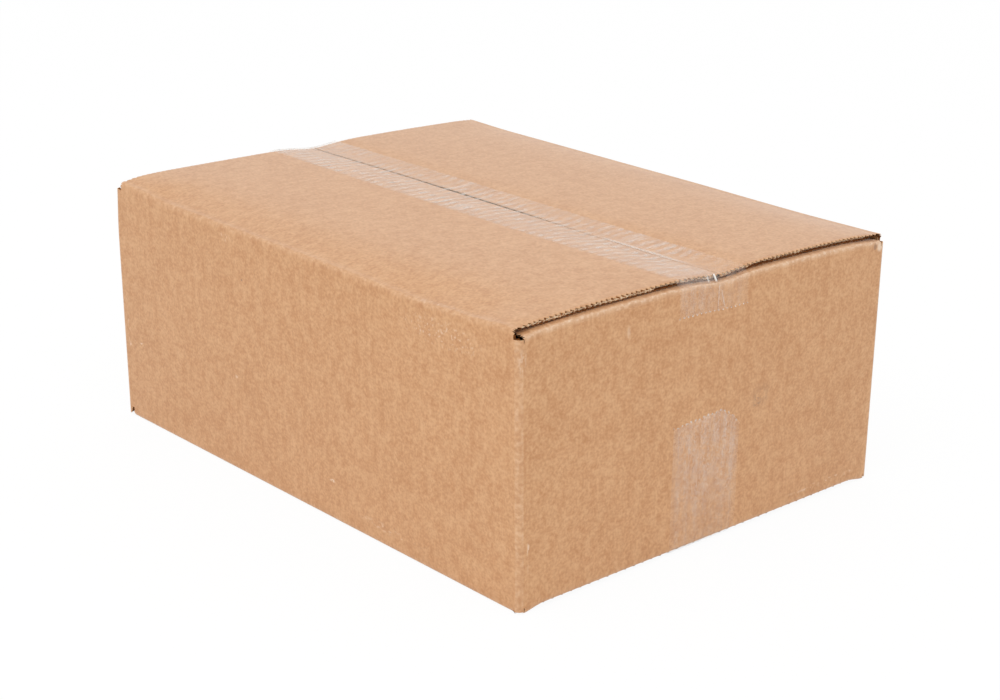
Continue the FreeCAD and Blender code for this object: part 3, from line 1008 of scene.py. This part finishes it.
@dataclass(frozen=True)
class KraftBoard:
    """Brown kraft liner: cloudy fibres, faint ridges of the flutes, rubbed folds and scuffs, a painted
    highlight on the end walls' upper fold crests, and painted shade in its cut edges.
    """

    dark: tuple = (0.466, 0.207, 0.068)
    light: tuple = (0.646, 0.354, 0.165)
    pale: tuple = (0.80, 0.62, 0.46)
    smudge: tuple = (0.24, 0.13, 0.07)
    raw_edge: tuple = (0.74, 0.48, 0.27)
    # the flutes' raw paper, darkened as painted shade in the groove and on the lower liner's edge
    raw_flute_and_shade: tuple = (0.25, 0.092, 0.027)
    roughness: float = 0.55
    sheen: float = 0.55
    scuffs: tuple = (
        Mark((114, -128, 123.5), (42, 6, 10), 0.42, (0.75, 0.3, 0.62), 0.57),
        Mark((108, -128, 137), (26, 4, 3), 0.35, (0.8, 0.3, 0.6), 0.54),
        Mark((76, -128, 9.8), (31, 6, 3.2), 0.35, (0.3, 0.3, 0.5)),
        Mark((-148, -128, 46.3), (12, 6, 2.0), 0.7, (0.3, 0.3, 0.6)),
        Mark((-60, -128, 129.6), (8, 6, 3), 0.4),
        Mark((-160, -128, 52), (2.0, 6, 17), 0.5, (0.6, 0.3, 0.2)),
        Mark((-54, -128, 54.6), (2.0, 4, 1.6), 0.5, (0.6, 0.3, 0.6), 0.4),
        Mark((28.5, -128, 21.7), (3.0, 4, 1.2), 0.7, (0.5, 0.3, 0.6), 0.42),
        Mark((168, 90, 7.6), (4, 38, 1.8), 0.55, (0.3, 0.25, 0.5)),
        Mark((168, -122.6, 30), (4, 1.1, 13), 0.6, (0.3, 0.5, 0.16), 0.46),
        Mark((167, -127, 124), (3, 3, 8), 0.3, (0.6, 0.6, 0.25), 0.48),
        Mark((168, -61, 123), (3, 1.6, 5), 0.28, (0.4, 0.4, 0.2), 0.45),
        Mark((168, 123.2, 131), (4, 2.8, 3.4), 0.75, (0.2, 0.2, 0.2), 0.25),
    )
    smudges: tuple = (
        Mark((168, 35, 70), (5, 11, 9), 0.16, (0.3, 0.22, 0.22), 0.45),
        Mark((168, 31.5, 67.5), (4, 4.5, 5), 0.5, (0.4, 0.7, 0.6), 0.5),
        Mark((-45.8, -128, 109.8), (1.1, 4, 0.9), 0.8, (0.6, 0.3, 0.6), 0.3),
        Mark((-166.5, -128, 129.8), (1.4, 4, 1.5), 0.9, (0.4, 0.3, 0.4), 0.3),
        Mark((168, 119.4, 131.5), (4, 1.8, 2.4), 0.6, (0.2, 0.2, 0.2), 0.25),
    )

    def material(self) -> bpy.types.Material:
        """Builds the board's material."""
        material, g = new_material("kraft_board")
        flat, place = g.attribute("flat", "Vector"), g.place()
        cut, wear_and_highlight = g.attribute("cut", "Fac"), g.attribute("wear_and_highlight", "Fac")
        across, _, _ = g.parts(flat)
        mottle = g.noise(flat, (0.38, 0.36, 0.4), 2.0, 0.5)
        grain = g.noise(flat, (0.72, 0.70, 0.8), 1.5, 0.5, 5.0)
        cloud = g.noise(flat, (0.035, 0.03, 0.1), 2.0, 0.5, 9.0)
        hue = g.noise(flat, (0.16, 0.11, 0.1), 2.0, 0.6, 14.0)
        ridge = (across * FLUTE_WAVE).sine()
        tone = 0.5 + (mottle - 0.5) * 0.78 + (grain - 0.5) * 1.08 + (hue - 0.5) * 0.8
        tone = tone + (cloud - 0.5) * 0.3 + ridge * 0.02
        colour = g.mixed(tone.eased(0.0, 1.0), self.dark, self.light)
        tint = g.mixed(hue.eased(0.35, 0.65), (1.005, 0.996, 0.99), (0.996, 1.002, 1.007))
        colour = g.add("ShaderNodeVectorMath", {"operation": "MULTIPLY"}, {0: colour, 1: tint})
        # pale folds: rubbing, and on the end walls' upper folds a painted highlight of the lit crest
        rubbed_and_highlit = wear_and_highlight * (0.08 + 0.12 * mottle.eased(0.45, 0.7))
        colour = g.mixed(rubbed_and_highlit, colour, self.pale)
        for marks, paint in ((self.scuffs, self.pale), (self.smudges, self.smudge)):
            total: object = 0.0
            for mark in marks:
                total = mark.mask(g, place) + total
            colour = g.mixed(total, colour, paint)
        # cut edges: the raw board's colour, painted dark in the groove and on the lower liner's edge for the
        # shade there
        raw = g.mixed(cut.eased(0.5, 0.75), self.raw_edge, self.raw_flute_and_shade)
        height = grain * 0.035 + mottle * 0.03 + ridge * 0.008
        face = g.principled({
            "Base Color": colour, "Roughness": self.roughness + (grain - 0.5) * 0.15,
            "Normal": g.bump(0.25, height), "Specular IOR Level": 0.8,
            "Sheen Weight": self.sheen, "Sheen Roughness": 0.3})
        edge = g.principled({"Base Color": raw, "Roughness": 0.9, "Specular IOR Level": 0.1})
        g.surface(g.add("ShaderNodeMixShader", {}, {0: cut.eased(0.05, 0.3), 1: face, 2: edge}))
        return material


@dataclass(frozen=True)
class FlutingPaper:
    """The rough paper of the fluted sheet, seen only where it is cut open, in pale specks painted for its
    lit flute tips and dark painted shade between them and under the liners.
    """

    dark: tuple = (0.34, 0.13, 0.04)
    light: tuple = (0.80, 0.62, 0.42)

    def material(self) -> bpy.types.Material:
        """Builds the fluted sheet's material."""
        material, g = new_material("fluting_paper")
        flat, cut = g.attribute("flat", "Vector"), g.attribute("cut", "Fac")
        grain = g.noise(flat, (1.4, 0.7, 1.2), 3.0, 0.65)
        # pale specks painted for the lit flute tips, and dark for the shade between them
        colour = g.mixed(grain.eased(0.38, 0.57), self.dark, self.light)
        # painted shade: dark under the upper liner, over the lower one and on the hidden back
        colour = g.mixed(cut.eased(0.85, 1.0), colour, self.dark)
        g.surface(g.principled({"Base Color": colour, "Roughness": 0.85, "Specular IOR Level": 0.15,
                                "Normal": g.bump(0.6, grain * 0.1)}))
        return material


@dataclass(frozen=True)
class ClearTape:
    """Clear film tape, clouded where it doesn't wet the board: over the flutes and at its ends, with painted
    highlights on its wrinkles and on its crinkle over the flap's edge.
    """

    film: tuple = (0.95, 0.91, 0.85)
    clear: float = 0.012
    cloudy: float = 0.17
    roughness: float = 0.32
    wrinkle_highlights: tuple = ((-0.2, 0.03, 121.0, 133.0, 0.8), (2.2, -0.3, 121.0, 130.0, 0.8))
    glints: tuple = ((-0.7, 4.5), (-6.0, 1.5))
    bright_bands: tuple = ((-36.0, 3.0, 6.0, 24.0), (-1.6, 4.5, -26.0, -8.0), (96.0, 3.0, 6.0, 24.0))

    def material(self) -> bpy.types.Material:
        """Builds the tape's material."""
        material, g = new_material("clear_tape")
        place = g.place()
        x, y, z = g.parts(place)
        on_end = abs(x).eased(165.5, 167.0)
        sway = g.noise(place, (0.02, 0.06, 0.05), 1.0, 0.5, 3.0)
        phase = (x + (sway - 0.5) * 9.0) * FLUTE_WAVE
        bars = phase.sine().eased(-0.8, 0.7)
        fray = g.noise(place, (0.42, 0.16, 0.1), 2.0, 0.6, 8.0)
        patch = g.noise(place, (0.03, 0.09, 0.1), 1.0, 0.5, 21.0)
        far_end = 1 - x.eased(-150, -95)
        near_end = x.eased(115, 150)
        far_half = y.eased(0, 4)
        rim = 1 - (abs(y + 2) + (fray - 0.5) * 7.0).eased(21.0, 26.0)
        veil = 0.3 + 0.3 * far_end + near_end * (0.2 - 0.4 * far_half)
        ribs = bars * (0.25 + 0.75 * fray.eased(0.35, 0.6)) * (0.3 + 0.7 * patch.eased(0.35, 0.65))
        lid = (veil + ribs * (1.4 - 0.5 * far_end - 0.65 * near_end - 0.35 * far_half)) * rim
        for middle, half, low, high in self.bright_bands:
            across = abs(x - middle).eased(half, half * 0.3)
            within = y.between(low - 2, low + 3, high - 3, high + 2)
            lid = lid + across * within * 0.5
        ridge = abs(y - 4.2).eased(2.0, 0.3) * x.between(78, 92, 125, 155)
        lid = (lid + ridge * 1.2) * (1 - x.eased(156, 163) * 0.4)
        streak = g.noise(place, (0.1, 0.55, 0.022), 2.0, 0.6, 31.0)
        blotch = g.noise(place, (0.1, 0.16, 0.11), 2.5, 0.6, 41.0)
        speck = g.noise(place, (0.9, 0.9, 0.9), 2.0, 0.6, 51.0)
        flutes = (y * FLUTE_WAVE + (sway - 0.5) * 3.0).sine()
        wall = 0.1 + blotch.eased(0.3, 0.66) * (0.36 + 0.17 * flutes)
        wall = wall + 0.4 * streak.eased(0.42, 0.62) * speck.eased(0.35, 0.6)
        wall = wall + (speck - 0.5) * 1.2
        faint = z.eased(90, 110) * (0.34 + 0.3 * y.eased(-10, 6))
        wall = wall * (0.42 + 0.55 * z.eased(6, 42) - faint)
        wall = wall * (1 - (abs(y + 4) + (speck - 0.5) * 12.0).eased(19.0, 25.0) * 0.7)
        # painted highlights: pale lines of light along the film's wrinkles on the end wall
        for where, lean, start, stop, strength in self.wrinkle_highlights:
            line = abs(y - where - (z - 130) * lean).eased(0.7, 0.15)
            wall = wall + line * z.between(start, start + 4, stop, stop + 3) * strength
        # painted highlights: glints on the film's crinkle where it bridges the flap's edge
        bridge = x.eased(163.2, 164.2) * z.eased(133.5, 135.0)
        for where, strength in self.glints:
            lid = lid + abs(y - where - (z - 137) * 0.2).eased(1.0, 0.3) * bridge * strength
        # the cloudiness also carries the painted wrinkle highlights and glints
        cloud = lid * (1 - on_end) + wall * on_end
        torn = g.attribute("cut", "Fac")
        alpha = self.clear + cloud * self.cloudy + torn.eased(0.3, 0.9) * 0.5
        height = cloud * 0.03 + streak * on_end * 0.04
        g.surface(g.principled({"Base Color": (*self.film, 1.0), "Roughness": self.roughness,
                                "Alpha": alpha, "Normal": g.bump(0.4, height),
                                "Specular IOR Level": 0.6}))
        return material


# The scene


@dataclass(frozen=True)
class Studio:
    """A white floor under an even white sky, with one soft lamp."""

    sky: float = 0.95
    white: tuple = (1.0, 1.0, 1.0, 1.0)
    floor_half_side: float = 4000.0
    floor_drop: float = 0.3
    floor_colour: tuple = (0.96, 0.96, 0.96)
    floor_glow: float = 0.94
    lamp_at: tuple = (400.0, -960.0, 1620.0)
    lamp_aim: tuple = (0.0, 0.0, 60.0)
    lamp_side: float = 1400.0
    lamp_power: float = 9.1

    def _seen(self, graph: Graph) -> Wire:
        """1 for rays that the camera sees directly, in a reflection or through a film."""
        path = graph.node("ShaderNodeLightPath", {}, {})
        camera, glossy, through = (
            Wire(graph, path.outputs[name])
            for name in ("Is Camera Ray", "Is Glossy Ray", "Is Transmission Ray"))
        return camera.larger(glossy).larger(through)

    def build(self) -> None:
        """Makes the world, the floor and the lamp."""
        world = bpy.data.worlds.new("studio")
        world.use_nodes = True
        bpy.context.scene.world = world
        g = Graph(world.node_tree)
        strength = self.sky + self._seen(g) * (1.0 - self.sky)
        sky = g.add("ShaderNodeBackground", {}, {"Color": self.white, "Strength": strength})
        g.surface(sky, "World")
        self._floor()
        self._lamp()

    def _floor(self) -> None:
        """A large pale floor that glows white to the eye and keeps the carton's shadow."""
        material, g = new_material("studio_floor")
        matt = g.add("ShaderNodeBsdfDiffuse", {}, {"Color": (*self.floor_colour, 1.0)})
        glow = g.add("ShaderNodeEmission", {}, {"Color": self.white, "Strength": 1.0})
        share = self._seen(g) * self.floor_glow
        g.surface(g.add("ShaderNodeMixShader", {}, {0: share, 1: matt, 2: glow}))
        half, level = self.floor_half_side * METRES, -self.floor_drop * METRES
        mesh = bpy.data.meshes.new("floor")
        mesh.from_pydata([(x * half, y * half, level) for x, y in ((-1, -1), (1, -1), (1, 1), (-1, 1))],
                         [], [(0, 1, 2, 3)])
        mesh.materials.append(material)
        linked("floor", mesh)

    def _lamp(self) -> None:
        """One large soft lamp, high on the left."""
        data = bpy.data.lights.new("soft_lamp", "AREA")
        data.shape = "SQUARE"
        data.size = self.lamp_side * METRES
        data.energy = self.lamp_power
        lamp = linked("soft_lamp", data)
        at = Vector(self.lamp_at) * METRES
        lamp.location = at
        lamp.rotation_euler = (Vector(self.lamp_aim) * METRES - at).to_track_quat("-Z", "Y").to_euler()


@dataclass(frozen=True)
class Eye:
    """The camera, placed where the photograph was taken from."""

    at: tuple = (778.87, -691.44, 423.37)
    azimuth: float = 46.75
    elevation: float = 20.875
    roll: float = 1.375
    lens: float = 72.08
    shift: tuple = (-0.04, 0.0505)

    def build(self) -> None:
        """Makes the camera and gives it to the scene."""
        data = bpy.data.cameras.new("eye")
        data.lens, data.sensor_width = self.lens, 36.0
        data.shift_x, data.shift_y = self.shift
        data.clip_start, data.clip_end = 0.05, 50.0
        eye = linked("eye", data)
        turn = (Matrix.Rotation(math.radians(self.azimuth), 4, "Z")
                @ Matrix.Rotation(math.radians(90.0 - self.elevation), 4, "X")
                @ Matrix.Rotation(math.radians(self.roll), 4, "Z"))
        eye.matrix_world = Matrix.Translation(Vector(self.at) * METRES) @ turn
        bpy.context.scene.camera = eye


def dress(piece: bpy.types.Object, node: str) -> None:
    """Puts a piece on the carton's body in place of a CAD node."""
    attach(piece, "root")
    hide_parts(node)


def main() -> None:
    """Builds every piece in order."""
    logging.basicConfig(level=logging.INFO, format="%(name)s: %(message)s")
    bpy.context.scene.view_settings.view_transform = "Standard"
    carton = Carton.from_frame()
    lid = Lid()
    settling = Settling(carton)
    kraft = KraftBoard().material()
    paper = FlutingPaper().material()
    clear = ClearTape().material()
    blank = Blank(carton, lid, settling)
    dress(blank.shell().build("board", settling, kraft), "carton")
    dress(blank.fluting().build("fluting", settling, paper), "carton")
    over = Tape(carton, lid, "tape_over_top", True, (14.9, 55.0),
                (((0, 0.0), (1, 1.3)), ((0, 0.0), (1, -1.0))))
    dress(over.shell().build(over.name, settling, clear, FILM_CREASE), "top_tape")
    under = Tape(carton, lid, "tape_under_bottom", False, (68.0, 50.0),
                 (((0, -0.5), (0.45, 0.5), (0.72, 1.2), (0.86, -2.0), (1, -8.0)), ((0, 0.0), (1, 1.5))),
                 width=47.4, centre=-4.2, rag=1.6, seed=8)
    dress(under.shell().build(under.name, settling, clear, FILM_CREASE), "bottom_tape")
    Studio().build()
    Eye().build()


if __name__ == "__main__":
    main()
